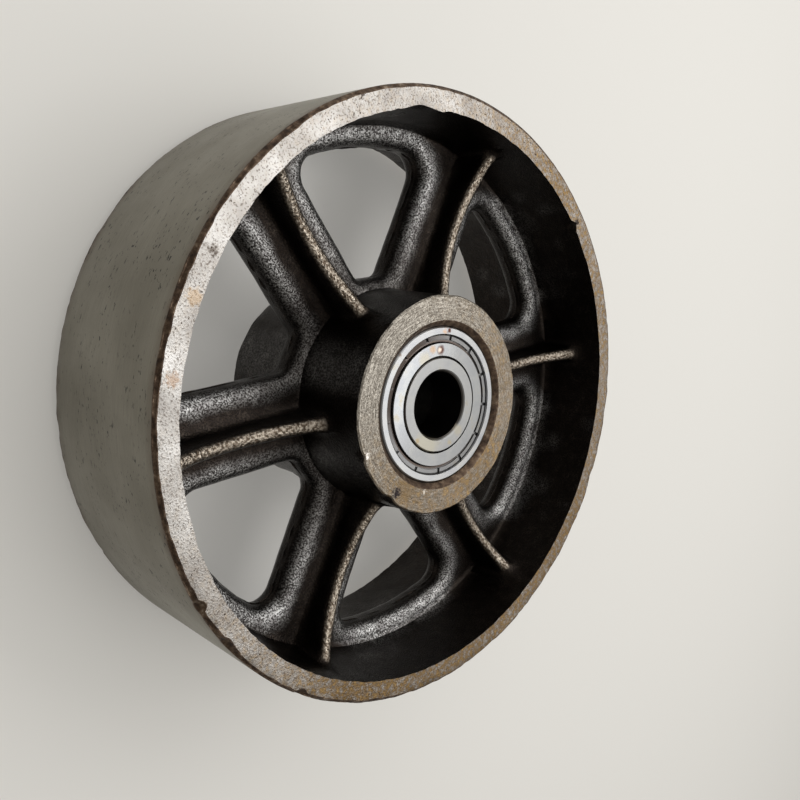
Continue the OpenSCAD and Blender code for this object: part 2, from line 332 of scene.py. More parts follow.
def sector_loop(across, rim_r, hub_r):
    """The outline between two spokes' middle lines, drawn in by across, the rim at rim_r and the hub at
    hub_r. Steps along a spoke are close at both ends, where its rib meets the upright walls."""
    rim_turn = HALF_SECTOR - math.asin(across / rim_r)
    hub_turn = HALF_SECTOR - math.asin(across / hub_r)
    rim = polar(rim_r, np.linspace(-rim_turn, rim_turn, N_RIM + 1))
    hub = polar(hub_r, np.linspace(hub_turn, -hub_turn, N_HUB + 1))
    near_rim = RIM_R - (RIM_R - WALL_R) * 1.05 * np.linspace(0, 1, CLIMB + 1)
    near_hub = HUB_R + (BARREL_R - HUB_R) * 1.3 * np.linspace(1, 0, CLIMB + 1)
    between = np.linspace(near_rim[-1], near_hub[0], N_SIDE - 2 * CLIMB + 1)
    along = np.concatenate([near_rim[:-1], between, near_hub[1:]])
    share = (RIM_R - along) / (RIM_R - HUB_R)
    start, stop = math.sqrt(rim_r**2 - across**2), math.sqrt(hub_r**2 - across**2)
    along = start + (stop - start) * share
    line, inward = polar(1, HALF_SECTOR), polar(1, HALF_SECTOR - math.pi / 2)
    spoke = along[:, None] * line + across * inward
    return closed_loop(rim, spoke, hub)


def rib_centre(radius):
    """Height of the centre of a rib's rounded crest: an arc of radius RIB_ARC, lowest at RIB_LOW_AT."""
    reach = np.clip(radius - RIB_LOW_AT, -RIB_ARC * 0.9, RIB_ARC * 0.9)
    return RIB_LOW + RIB_ARC - np.sqrt(RIB_ARC**2 - reach**2) - RIB_HALF


def spoke_place(points):
    """Distance along and across the middle line of the nearer spoke, for points of the sector about +X."""
    line, normal = polar(1, HALF_SECTOR), polar(1, HALF_SECTOR + math.pi / 2)
    plan = np.stack([points[:, 0], np.abs(points[:, 1])], axis=-1)
    return plan @ line, np.abs(plan @ normal)


def first_height(points):
    """Height of the casting over plan points, with no fillets: highest of web, rim wall, hub and rib."""
    radius = off_axis(points)
    along, across = spoke_place(points)
    centre = rib_centre(along)
    crest = centre + np.sqrt(np.clip(RIB_HALF**2 - across**2, 0, None))
    rib = np.where(across < RIB_HALF, crest, centre - (across - RIB_HALF) / RIB_SLOPE)
    rim = WEB_H + (radius - WALL_R) / RIM_SLOPE
    hub = WEB_H + (BARREL_R - radius) / HUB_SLOPE
    web = np.full(len(points), WEB_H)
    return np.max([web, rib, np.minimum(rim, FACE_Z), np.minimum(hub, HUB_H)], axis=0)


def blended(a, b, size):
    """The nearer of two distances, rounded where they are alike within size, as a cast fillet."""
    h = np.clip(0.5 + 0.5 * (b - a) / size, 0, 1)
    return b + (a - b) * h - size * h * (1 - h)


def rounded_edge(a, b, radius):
    """The farther of two distances square to each other, with their edge rounded to that radius."""
    a, b = a + radius, b + radius
    return np.hypot(np.clip(a, 0, None), np.clip(b, 0, None)) - radius + np.minimum(np.maximum(a, b), 0)


def window_distance(p):
    """Distance outside a window's outline in the sector about +X: the farthest of its sides, or of a
    corner's centre less the corner's radius where the point lies between the corner's two sides."""
    radius = off_axis(p)
    across = spoke_place(p)[1]
    far = np.max([SPOKE_SIDE - across, radius - OUTER_R, INNER_X - INNER_CORNER - p[:, 0]], axis=0)
    side = HALF_SECTOR + math.pi / 2
    for centre, corner, start, stop in (
            (polar(OUTER_AT, OUTER_TURN), OUTER_CORNER, OUTER_TURN, side),
            (np.array([INNER_X, INNER_Y]), INNER_CORNER, side, math.pi)):
        off = np.stack([p[:, 0], np.abs(p[:, 1])], axis=-1) - centre
        turn = np.arctan2(off[:, 1], off[:, 0])
        far = np.where((turn >= start) & (turn <= stop), np.hypot(off[:, 0], off[:, 1]) - corner, far)
    return far


def skin_distance(p):
    """Distance of points from the casting's filleted skin, in the sector about +X and above mid-width.
    Plate, rib, rim and hub are distances that blended() joins."""
    radius = off_axis(p)
    along, across = spoke_place(p)
    height = p[:, 2]
    plate = rounded_edge(-window_distance(p), height - WEB_H, ROUND)
    centre = rib_centre(along)
    side = across - RIB_HALF - (centre - height) * RIB_SLOPE
    rib = np.where(height > centre, np.hypot(across, height - centre) - RIB_HALF, side)
    rim = WALL_R + (height - WEB_H) * RIM_SLOPE - radius
    hub = radius - BARREL_R + (height - WEB_H) * HUB_SLOPE
    joints = [blended(rim, rib, RIM_RIB), blended(hub, rib, HUB_RIB), blended(rim, plate, RIM_WEB),
              blended(rib, plate, RIB_WEB), blended(hub, plate, HUB_WEB)]
    return np.min(joints, axis=0)


def onto_skin(points, free):
    """Moves the free points along the distance's slope until it is nought: Newton's steps, with the slope
    from small differences."""
    tries, tiny, longest = 6, 0.02, 0.6
    moved = points.copy()
    for _ in range(tries):
        at = moved[free]
        here = skin_distance(at)
        slope = np.stack([
            (skin_distance(at + tiny * axis) - skin_distance(at - tiny * axis)) / (2 * tiny)
            for axis in np.eye(3)], axis=-1)
        size = np.clip((slope**2).sum(axis=1), 0.25, None)
        step = -(here / size)[:, None] * slope
        step *= np.minimum(1, longest / np.clip(np.linalg.norm(step, axis=1), 1e-9, None))[:, None]
        moved[free] = at + step
    return moved


def sector_skin():
    """The casting's skin in one sector and above mid-width, a grid of loops by steps: from the flash in the
    window, over its round, out to the spokes' middle lines, the rim's face and the hub's face."""
    loops = []
    at_rim, at_hub = band_weights()
    turns = np.radians([12, 27, 42, 57, 73, 90])
    for grown, height in [(0, 0), (0, 0.3), (0, LAND_H)] + [
            (ROUND * (1 - math.cos(t)), LAND_H + ROUND * math.sin(t)) for t in turns]:
        plan = window_loop(grown) * (1 - at_rim - at_hub)
        plan += window_loop(grown * RIM_SHARE) * at_rim + window_loop(grown * HUB_SHARE) * at_hub
        loops.append(np.column_stack([plan, np.full(len(plan), height)]))
    last = loops[-1][:, :2]
    foot_top = WEB_H + FOOT_H
    lean = (rib_centre(np.array([RIB_LOW_AT]))[0] - WEB_H) * RIB_SLOPE
    rows = []
    for share in (0, 0.3, 0.55, 0.78, 1):
        bow = 1 - math.sin(share * math.pi / 2)
        rows.append((RIB_HALF + lean + RIB_BOW * bow, WALL_R - RIM_BOW * bow, BARREL_R + HUB_BOW * bow))
    for share in np.linspace(0, 1, 7)[1:]:
        height = foot_top + (MIDDLE_H - foot_top) * share
        rows.append((RIB_HALF + (lean + 0.02) * (1 - share),
                     WALL_R + (height - WEB_H) * RIM_SLOPE, BARREL_R - (height - WEB_H) * HUB_SLOPE))
    for share in np.linspace(0, 1, 7)[1:]:
        rim_h = MIDDLE_H + (FACE_Z - MIDDLE_H) * share
        hub_h = MIDDLE_H + (HUB_H - HUB_EDGE - MIDDLE_H) * share
        rows.append((RIB_HALF * math.cos(share * math.pi / 2) * (share < 1),
                     WALL_R + (rim_h - WEB_H) * RIM_SLOPE, BARREL_R - (hub_h - WEB_H) * HUB_SLOPE))
    outer = [sector_loop(*row) for row in rows]
    between = [last * (1 - share) + outer[0] * share for share in (0.33, 0.67)]
    loops += [np.column_stack([plan, first_height(plan)]) for plan in between + outer]
    grid = np.array(loops)
    flat = grid.reshape(-1, 3)
    free = np.zeros(grid.shape[:2], bool)
    free[3:-1] = True
    free[-1, N_RIM + 1:HUB_START] = True
    free[-1, HUB_STOP + 1:] = True
    moved = onto_skin(flat, free.ravel()).reshape(grid.shape)
    moved[-1, :N_RIM + 1, 2] = FACE_Z
    moved[-1, HUB_START:HUB_STOP + 1, 2] = HUB_H - HUB_EDGE
    return moved


def band_weights():
    """Two weights round a loop: 1 along the rim's or the hub's side, easing to 0 at the spokes' ends."""
    ease = np.linspace(0, 1, EASE)
    rim, hub = np.zeros((2, HUB_STOP + N_SIDE))
    rim[:N_RIM + 1] = 1
    rim[N_RIM:N_RIM + EASE] = ease[::-1]
    rim[-EASE:] = ease
    hub[HUB_START:HUB_STOP + 1] = 1
    hub[HUB_START - EASE:HUB_START] = ease
    hub[HUB_STOP:HUB_STOP + EASE] = ease[::-1]
    return rim[:, None], hub[:, None]


def grid_faces(rows, steps, start=0):
    """Quads between neighbouring rows of a grid that closes round on itself."""
    i = np.arange(steps)
    j = (i + 1) % steps
    low = start + np.arange(rows - 1)[:, None] * steps
    return np.stack([low + i, low + steps + i, low + steps + j, low + j], axis=-1).reshape(-1, 4)


def turned(radius, height, steps):
    """Rows of a turned surface: each (radius, height) of the profile carried round the axis. radius and
    height may vary round the axis, as arrays of (rows, steps)."""
    radius, height = (
        np.broadcast_to(np.reshape(a, (len(a), -1)), (len(a), steps)) for a in (radius, height))
    return np.dstack([polar(radius, np.arange(steps) * TAU / steps), height])


def bump_round(turn, centre, width):
    """A smooth hump in direction, 1 at the centre, in degrees."""
    off = (turn - centre + 180) % 360 - 180
    return np.exp(-(off / width) ** 2)


def humps(turn, table):
    """The sum of humps round the wheel, each a direction, a width and a height."""
    return sum(height * bump_round(turn, at, width) for at, width, height in table)


def direction(points):
    """Direction of points about the wheel's axis, in degrees."""
    return np.degrees(np.arctan2(points[:, 1], points[:, 0]))


def brokenness(turn):
    """How broken the rim's edges are by direction, up to 1: least at the photograph's upper right."""
    return 1 - 0.8 * bump_round(turn, 105, 48)


def edge_break(turn, end):
    """Width in millimetres of the broken edge between a rim's face and the tread: a plain chamfer, uneven
    along it, with chips that run deepest where the photographed edge is worst."""
    ring = polar(TREAD_R, np.radians(turn))
    at = np.column_stack([ring, np.full(len(turn), FACE_Z * end)])
    wave = 0.75 + brokenness(turn) * layered(at, CHAMFER_WAVE)
    chips = np.clip(smooth_noise(at, 4.5, 13 + end) - 0.35, 0, None)
    worst = bump_round(turn, -85, 24) + 0.35 * brokenness(turn) - 0.05
    return np.clip(wave + chips * worst * 2.2, 0.5, 2.6)


def rim_strip(look):
    """The rim's faces, broken edges and tread as one strip of rings, from the front face's inner edge to
    the rear's, with twice the steps of the skin's loops round the axis. Each ring is (radius, height)
    turned about the axis, and the broken edges' rings move in and out with edge_break()."""
    steps = 2 * N_RIM * SECTORS
    turn = np.arange(steps) * 360 / steps
    halves = []
    for end in (1, -1):
        cut = edge_break(turn, end)
        rows = [(r, FACE_Z) for r in RIM_FACE_RINGS]
        rows.append((TREAD_R - cut - FACE_MARGIN, FACE_Z))
        rows += [(TREAD_R - cut * (1 - share), FACE_Z - cut * share) for share in np.linspace(0, 1, 6)]
        rows.append((TREAD_R, FACE_Z - cut - TREAD_MARGIN))
        rows += [(TREAD_R, h) for h in TREAD_RINGS]
        radius, height = (np.array([np.broadcast_to(a, steps) for a in column]) for column in zip(*rows))
        ring = turned(radius, height * end, steps)
        flat = ring.reshape(-1, 3)
        # Chips shift the chamfer's rings square to its slope, its first and last less
        rough = np.zeros(len(rows))
        rough[4:8] = 1
        rough[3] = rough[8] = 0.35
        chip = np.minimum(layered(flat, CHAMFER_CHIPS) - 0.12, 0.05).reshape(ring.shape[:2])
        chip *= rough[:, None] * brokenness(turn)
        chip *= look.chips / MM * 0.7
        ring[..., :2] += chip[..., None] * polar(1, np.radians(turn))
        ring[..., 2] += chip * end
        halves.append(ring)
    middle = turned([TREAD_R], [0], steps)
    return np.concatenate([halves[0], middle, halves[1][::-1]])


def hub_strip():
    """The hub's faces, seat mouths, bearing seats and cored bore as one strip of rings turned about the
    axis, from the front face's outer edge to the rear's."""
    mouth = BEARING_R + SEAT_CHAMFER
    half = [(HUB_R, HUB_H - HUB_EDGE), (HUB_R - HUB_EDGE, HUB_H), *((r, HUB_H) for r in HUB_FACE_RINGS),
            (mouth + 0.25, HUB_H), (mouth, HUB_H - 0.04), (BEARING_R, HUB_H - SEAT_CHAMFER),
            (BEARING_R, BEARING_LOW), (CORE_R, BEARING_LOW), (CORE_R, CORE_RING)]
    profile = half + [(r, -h) for r, h in half[::-1]]
    radius, height = zip(*profile)
    return turned(radius, height, N_HUB * SECTORS)


def ring_of(points, radius, height, count):
    """The indices of the count points on a ring about the axis, in the order of their directions."""
    off = np.hypot(off_axis(points) - radius, points[:, 2] - height)
    on = np.flatnonzero(off < 0.05)
    if len(on) != count:
        raise RuntimeError(f"{len(on)} points on the ring of radius {radius}, not {count}")
    return on[np.argsort(np.round(direction(points[on]), 2) % 360)]


def doubling_faces(count):
    """Triangles between a ring of count points and one of twice as many, numbered on after it."""
    i = np.arange(count)
    j = (i + 1) % count
    mid, last = count + 2 * i + 1, count + 2 * j
    fans = [np.stack(t, axis=-1) for t in ((i, count + 2 * i, mid), (i, mid, j), (j, mid, last))]
    return np.concatenate(fans)


def ragged_edges(points, skin, look):
    """Moves skin points by the relief of sand-cast iron, along the skin's normal, and the turned edges'
    rings only in or out, so that the cut faces stay flat."""
    turn = direction(points)
    radius = off_axis(points)
    height = np.abs(points[:, 2])
    amount = layered(points, RELIEF) * look.relief / MM
    moved = points + skin * amount[:, None]
    outward = np.column_stack([polar(1, np.radians(turn)), np.zeros(len(points))])
    at_rim = (np.abs(radius - RIM_R) < 0.02) & (np.abs(height - FACE_Z) < 0.02)
    ragged = look.ragged / MM
    broken = ragged * layered(points, RIM_RAGGED) + humps(turn, RIM_NOTCHES)
    at_hub = (np.abs(radius - HUB_R) < 0.5) & (height > HUB_H - HUB_EDGE - 0.02)
    chipped = ragged * (layered(points, HUB_RAGGED) - 0.1) + humps(turn, HUB_DENTS)
    moved = np.where(at_rim[:, None], points + outward * broken[:, None], moved)
    return np.where(at_hub[:, None], points + outward * chipped[:, None], moved)


def skin_normals(points, faces):
    """Unit normals of points, each the sum of its quads' normals."""
    corners = points[faces]
    normal = np.cross(corners[:, 2] - corners[:, 0], corners[:, 3] - corners[:, 1])
    total = np.zeros_like(points)
    for k in range(4):
        np.add.at(total, faces[:, k], normal)
    return total / np.clip(np.linalg.norm(total, axis=1), 1e-9, None)[:, None]


def strip_finish(strip, face_end, edge_end, beyond):
    """The finish of each quad of a strip, by its row counted from the nearer end: rows of the face, rows of
    the broken edge, and the rows beyond."""
    rows = np.repeat(np.arange(len(strip) - 1), strip.shape[1])
    rows = np.minimum(rows, len(strip) - 2 - rows)
    return np.select([rows < face_end, rows < edge_end], [FACE, BROKEN], beyond)


def casting_surface(look):
    """The whole casting as (points, faces, finish of each face): twelve copies of the sector's skin, turned
    and mirrored, and the turned strips of the rim and the hub between their edges."""
    sector = sector_skin()
    inner, flash = window_loop(0), window_loop(-look.flash / MM)
    loops, steps = sector.shape[:2]
    points, quads = [], []
    for end in (1, -1):
        for k in range(SECTORS):
            spin = HALF_SECTOR + k * TAU / SECTORS
            turn = np.array([[math.cos(spin), math.sin(spin)], [-math.sin(spin), math.cos(spin)]])
            own = sector.copy()
            ridge = np.column_stack([inner @ turn, np.zeros(steps)])
            height = np.clip(0.45 + 0.9 * smooth_noise(ridge, 3.1, 21), 0, 1.1)[:, None]
            own[0, :, :2] = inner + (flash - inner) * height
            own[..., :2] = own[..., :2] @ turn
            own[..., 2] *= end
            quad = grid_faces(loops, steps, sum(len(p) for p in points))
            points.append(own.reshape(-1, 3))
            quads.append(quad if end > 0 else quad[:, ::-1])
    points, quads = np.concatenate(points), np.concatenate(quads)
    cells = np.round(points * WELD_CELLS)
    _, first, back = np.unique(cells, axis=0, return_index=True, return_inverse=True)
    points, quads = points[first], back.ravel()[quads]
    skin = skin_normals(points, quads)
    count = len(points)
    rim, hub = rim_strip(look), hub_strip()
    rings = np.concatenate([rim.reshape(-1, 3), hub.reshape(-1, 3)])
    everything = np.concatenate([points, rings])
    skin = np.concatenate([skin, np.zeros_like(rings)])
    moved = ragged_edges(everything, skin, look)

    (rim_rows, rim_steps), (hub_rows, hub_steps) = rim.shape[:2], hub.shape[:2]
    rim_faces = grid_faces(rim_rows, rim_steps, count)
    hub_start = count + rim_rows * rim_steps
    hub_faces = grid_faces(hub_rows, hub_steps, hub_start)[:, ::-1]
    joins = []
    lookup = np.arange(len(moved))
    for end, rim_row, hub_row in ((1, 0, 0), (-1, rim_rows - 1, hub_rows - 1)):
        coarse = ring_of(points, RIM_R, FACE_Z * end, N_RIM * SECTORS)
        table = np.concatenate([coarse, count + rim_row * rim_steps + np.arange(rim_steps)])
        joined = table[doubling_faces(len(coarse))]
        joins.append(joined if end > 0 else joined[:, ::-1])
        own = hub_start + hub_row * hub_steps + np.arange(hub_steps)
        lookup[own] = ring_of(points, HUB_R, (HUB_H - HUB_EDGE) * end, hub_steps)
    faces = [quads, lookup[hub_faces], rim_faces, *joins]
    finish = [np.full(len(quads), SKIN), strip_finish(hub, 4, 6, FACE), strip_finish(rim, 2, 9, TREAD)]
    finish += [np.full(len(joined), FACE) for joined in joins]
    return moved, [f for block in faces for f in block.tolist()], np.concatenate(finish)


def to_mesh(name, points, faces, body, stands_for):
    """Makes a mesh object from points in millimetres and faces, on a body and for a CAD node."""
    mesh = bpy.data.meshes.new(name)
    mesh.from_pydata((points * MM).tolist(), [], faces)
    mesh.update()
    mesh.shade_smooth()
    mesh.set_sharp_from_angle(angle=SHARP)
    piece = bpy.data.objects.new(name, mesh)
    bpy.context.scene.collection.objects.link(piece)
    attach(piece, body)
    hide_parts(stands_for)
    return piece


def linear(code):
    """An sRGB colour such as #a0b0c0 as linear RGBA."""
    parts = [int(code[i:i + 2], 16) / 255 for i in (1, 3, 5)]
    return [c / 12.92 if c <= 0.04045 else ((c + 0.055) / 1.055) ** 2.4 for c in parts] + [1.0]


def add_node(tree, kind, *values, output=None, stops=(), **named):
    """Adds a shader node and returns its first output in use, or the output of that name. Values go to the
    inputs in use, in their order. A named value goes to an input where its name has a capital, and is a
    setting of the node otherwise. An input takes a number, an sRGB hex colour or another node's output.
    Stops are a ramp's."""
    node = tree.nodes.new("ShaderNode" + kind)
    for name, value in named.items():
        if name.islower():
            setattr(node, name, value)
    links = list(zip([socket for socket in node.inputs if socket.enabled], values))
    links += [(node.inputs[name.replace("_", " ")], named[name]) for name in named if not name.islower()]
    for socket, value in links:
        if isinstance(value, bpy.types.NodeSocket):
            tree.links.new(value, socket)
        else:
            socket.default_value = linear(value) if isinstance(value, str) else value
    if stops:
        elements = node.color_ramp.elements
        while len(elements) < len(stops):
            elements.new(0.5)
        for element, (at, code) in zip(elements, stops):
            element.position, element.color = at, linear(code)
    if output:
        return node.outputs[output]
    return next((socket for socket in node.outputs if socket.enabled), None)


def new_finish(name):
    """A new material with no nodes, and the function that adds its nodes."""
    material = bpy.data.materials.new(name)
    material.use_nodes = True
    material.node_tree.nodes.clear()
    return material, functools.partial(add_node, material.node_tree)


def per_metre(size):
    """How often a pattern's size in millimetres goes into a metre, which is its scale."""
    return 1 / (size * MM)


def place_and_radius(add):
    """Object coordinates, and the distance from the wheel's axis."""
    place = add("TexCoord", output="Object")
    flat = add("VectorMath", place, (1, 1, 0), operation="MULTIPLY")
    return place, add("VectorMath", flat, operation="LENGTH")


def marked(add, place, colour, marks, ragged):
    """A colour with marks dabbed on it, each a spot whose edge wanders by ragged millimetres."""
    wander = add("TexNoise", place, per_metre(0.9), 3, EVEN)
    wander = add("MapRange", wander, 0.3, 0.7, -ragged * MM, ragged * MM)
    for centre, size, code, strength in marks:
        away = add("VectorMath", place, [c * MM for c in centre], operation="DISTANCE")
        away = add("Math", away, wander, operation="ADD")
        spot = add("MapRange", away, (1.15 * size + 0.1) * MM, (0.6 * size - 0.1) * MM, 0, strength)
        colour = add("Mix", spot, colour, code, data_type="RGBA")
    return colour


def lathe_marks(add, place, radius, pitch):
    """Irregular rings about the wheel's axis, as a turning tool leaves them: noise that is quick along the
    radius and slow round it."""
    slow = add("VectorMath", place, (0.14, 0.14, 0), operation="MULTIPLY")
    rings = add("CombineXYZ", radius, *(add("SeparateXYZ", slow, output=axis) for axis in "XY"))
    return add("TexNoise", rings, per_metre(pitch), 2, 0.6)


def oiled_sand_cast_iron():
    """Sand-cast grey iron under dark oil: nearly black, grained like the sand that it was cast in, with a
    silver painted highlight on its rounds where the oil is also worn off, and warm worn crests with painted
    glints."""
    material, add = new_finish("oiled_sand_cast_iron")
    place = add("TexCoord", output="Object")
    # The sand's grain, drawn coarse enough to show, ripple on crests, the mould's lumps and patches of oil
    grain, ripple, lumps, patches = (
        add("TexNoise", place, per_metre(size), detail, EVEN)
        for size, detail in ((0.5, 3), (0.85, 2), (3.2, 3), (16, 2)))
    worn, bare_and_lit = (add("Attribute", attribute_name=name, output="Fac") for name in ("worn", "bare_and_lit"))
    # Silver: the oil worn off the skin, and a painted highlight on the windows' rounds
    silver = add("ValToRGB", lumps, stops=((0.3, "#8c8988"), (0.55, "#aeadab"), (0.75, "#cac9c7")))
    colour = add("ValToRGB", lumps, stops=((0.3, "#251f1b"), (0.55, "#342e29"), (0.75, "#453e38")))
    hollows = add("MapRange", grain, 0.6, 0.43, 0, 0.95)
    crest = add("Math", worn, 0.85, operation="MULTIPLY")
    # Painted glints on the worn crests
    painted_glints = add("MapRange", ripple, 0.4, 0.64, 0.05, 1)
    painted_glints = add("Math", worn, painted_glints, operation="MULTIPLY")
    for cover, over in ((bare_and_lit, silver), (hollows, "#231f1d"), (crest, "#57493b"), (painted_glints, "#c2b7a8")):
        colour = add("Mix", cover, colour, over, data_type="RGBA")
    ridges = add("Math", worn, ripple, operation="MULTIPLY")
    bump = add("Bump", Height=lumps, Distance=0.25 * MM, Strength=0.6)
    bump = add("Bump", Height=grain, Distance=0.24 * MM, Normal=bump)
    bump = add("Bump", Height=ridges, Distance=0.6 * MM, Normal=bump)
    rough = add("MapRange", patches, 0.3, 0.7, 0.27, 0.37)
    shader = add("BsdfPrincipled", Base_Color=colour, Metallic=1.0, Roughness=rough, Normal=bump)
    add("OutputMaterial", shader)
    return material


def turned_iron_face():
    """Grey iron faced in a lathe and handled since: bright and finely grained, with the tool's rings on the
    hub, tan and brown tarnish that also paints shade over one side, and dark pores."""
    material, add = new_finish("turned_iron_face")
    place, radius = place_and_radius(add)
    # Grain of the cut metal, clouds from handling, blotches of tarnish and pores
    grain, cloud, blotch, pores = (
        add("TexNoise", place, per_metre(size), detail, roughness)
        for size, detail, roughness in ((0.55, 3, EVEN), (9, 3, EVEN), (1.7, 4, 0.7), (0.9, 2, EVEN)))
    marks = lathe_marks(add, place, radius, TOOL_PITCH)
    on_hub = add("MapRange", radius, *HUB_FACES)
    on_rim = add("Math", 1, on_hub, operation="SUBTRACT")
    colour = add("ValToRGB", cloud, stops=((0.3, "#a6a29e"), (0.5, "#b7b4b0"), (0.7, "#c7c5c2")))
    mingled = add("Math", grain, 0.5, operation="MULTIPLY")
    mingled = add("Math", marks, 0.5, mingled, operation="MULTIPLY_ADD")
    dull = add("ValToRGB", mingled, stops=((0.41, "#6f6961"), (0.5, "#8e887f"), (0.59, "#afa99f")))
    brown = add("ValToRGB", blotch, stops=((0.35, "#4e3e2a"), (0.55, "#786141"), (0.7, "#a0865b")))
    # Tarnish, with painted shade over one side of the faces
    tarnish = add("Attribute", attribute_name="tarnish", output="Fac")
    blotched = add("MapRange", blotch, 0.36, 0.62, 0.45, 1.2)
    tarnish = add("Math", tarnish, blotched, operation="MULTIPLY", use_clamp=True)
    specks = add("Math", add("MapRange", grain, 0.54, 0.64, 0, 0.65), on_rim, operation="MULTIPLY")
    pores = add("MapRange", pores, 0.66, 0.72)
    for cover, over in ((on_hub, dull), (tarnish, brown), (specks, "#55493f"), (pores, "#3a2f26")):
        colour = add("Mix", cover, colour, over, data_type="RGBA")
    colour = marked(add, place, colour, FACE_MARKS, 0.9)
    depth = add("Math", on_hub, 1.0, 0.25, operation="MULTIPLY_ADD")
    height = add("Math", marks, depth, grain, operation="MULTIPLY_ADD")
    bump = add("Bump", Height=height, Distance=0.17 * MM)
    rough = add("MapRange", cloud, 0.3, 0.7, 0.52, 0.44)
    shader = add("BsdfPrincipled", Base_Color=colour, Metallic=1.0, Roughness=rough, Normal=bump)
    add("OutputMaterial", shader)
    return material


def turned_iron_tread():
    """Grey iron turned across the tread and worn dull: an even mid grey, with fine streaks round the wheel,
    clusters of small dark pits and scores, and brown creeping in from the edges."""
    material, add = new_finish("turned_iron_tread")
    place = add("TexCoord", output="Object")
    # Streaks and ticks are noise squeezed so that it is drawn out round the wheel
    long, short = (add("VectorMath", place, (by, by, 1), operation="MULTIPLY") for by in (0.05, 0.42))
    streak = add("TexNoise", long, per_metre(0.4), 3, EVEN)
    ticks = add("TexNoise", short, per_metre(0.8), 2, 0.6)
    cloud, group, grain = (add("TexNoise", place, per_metre(size), 3, EVEN) for size in (26, 11, 0.6))
    colour = add("ValToRGB", cloud, stops=((0.3, "#797569"), (0.5, "#827e72"), (0.7, "#8d897d")))
    streaked = add("MapRange", streak, 0.35, 0.7, 0.25, 0)
    height = add("Math", add("SeparateXYZ", place, output="Z"), operation="ABSOLUTE")
    near_edge, patchy = add("MapRange", height, *TREAD_EDGES), add("MapRange", group, 0.3, 0.65, 0.2, 0.9)
    brown = add("Math", near_edge, patchy, operation="MULTIPLY")
    pits, clusters = add("MapRange", ticks, 0.62, 0.67), add("MapRange", group, 0.44, 0.58, 0.1, 0.95)
    pits = add("Math", pits, clusters, operation="MULTIPLY")
    for cover, over in ((streaked, "#5c564e"), (brown, "#5a4a3c"), (pits, "#1f1a16")):
        colour = add("Mix", cover, colour, over, data_type="RGBA")
    height = add("Math", streak, 0.5, grain, operation="MULTIPLY_ADD")
    height = add("Math", height, pits, operation="SUBTRACT")
    bump = add("Bump", Height=height, Distance=0.05 * MM, Strength=0.8)
    rough = add("MapRange", cloud, 0.3, 0.7, 0.5, 0.42)
    shader = add("BsdfPrincipled", Base_Color=colour, Metallic=0.75, Roughness=rough, Normal=bump)
    add("OutputMaterial", shader)
    return material


def chipped_iron_edge():
    """The edges that the tool left or that blows broke, rusted brown, with a few brighter flecks."""
    material, add = new_finish("chipped_iron_edge")
    place = add("TexCoord", output="Object")
    grain = add("TexNoise", place, per_metre(0.6), 3, 0.6)
    blotch = add("TexNoise", place, per_metre(2.2), 4, 0.65)
    colour = add("ValToRGB", blotch, stops=(
        (0.32, "#2a2019"), (0.48, "#46372b"), (0.62, "#5f4f40"), (0.78, "#8f8476")))
    bump = add("Bump", Height=grain, Distance=0.14 * MM, Strength=0.9)
    rough = add("MapRange", blotch, 0.35, 0.7, 0.6, 0.42)
    shader = add("BsdfPrincipled", Base_Color=colour, Metallic=0.8, Roughness=rough, Normal=bump)
    add("OutputMaterial", shader)
    return material


def paint_attributes(mesh, points):
    """The attributes that the iron's finishes read: worn, on the ribs' crests, bare_and_lit, where the oil
    has gone from the skin beside the windows and a highlight is painted on their rounds, fading towards the
    hub, with painted shade left beside the ribs, and tarnish, tarnish round the faces with painted shade
    over one side."""
    turn = direction(points)
    radius = off_axis(points)
    off = np.radians((turn + 30) % 60 - 30)
    across, along = np.abs(radius * np.sin(off)), radius * np.cos(off)
    over = np.abs(points[:, 2]) - rib_centre(along)
    on_rib = (across < 3.2) * np.clip((radius - 33.5) / 2, 0, 1) * (radius < 81)
    worn = np.clip(over - 1.2, 0, 1) * on_rib
    patches = 0.5 + 0.5 * smooth_noise(points, 22, 41)
    # Painted shade, deepest towards direction 20 degrees, mixed into the tarnish
    away = 0.5 + 0.5 * np.cos(np.radians(turn - 20))
    on_rim = 0.9 * away**0.9 + 0.35 * (patches - 0.3) + humps(turn, RIM_TARNISH_AND_SHADE)
    on_hub = away * (0.35 + 0.6 * patches) + humps(turn, HUB_TARNISH_AND_SHADE)
    tarnish = np.where(radius < HUB_R + 1, on_hub, on_rim)
    # Oil worn off and a painted highlight beside the windows, fading towards the hub, with painted shade
    # left beside the ribs
    in_sector = polar(radius, np.radians(turn % 60 - 30))
    beside = window_distance(np.column_stack([in_sector, points[:, 2]]))
    bare_and_lit = np.clip((7.0 - beside + 1.2 * smooth_noise(points, 7, 42)) / 3.2, 0, 1)
    bare_and_lit *= np.clip((np.abs(points[:, 2]) - 2.4) / 1.8, 0, 1) * np.clip((radius - 34) / 30, 0.3, 1)
    for name, values in (("worn", worn), ("tarnish", tarnish), ("bare_and_lit", bare_and_lit)):
        mesh.attributes.new(name, "FLOAT", "POINT").data.foreach_set("value", values.astype(np.float32))


class WHEEL_OT_casting(bpy.types.Operator):
    """Builds the casting's detailed skin and gives it its iron finishes"""
    bl_idname = "castor_wheel.casting"
    bl_label = "Casting"

    def execute(self, context):
        points, faces, finish = casting_surface(context.scene.castor_casting)
        piece = to_mesh("casting", points, faces, "wheel", "wheel_casting")
        for finish_of in (oiled_sand_cast_iron, turned_iron_face, turned_iron_tread, chipped_iron_edge):
            piece.data.materials.append(finish_of())
        piece.data.polygons.foreach_set("material_index", finish.astype(np.int32))
        paint_attributes(piece.data, points)
        return {"FINISHED"}


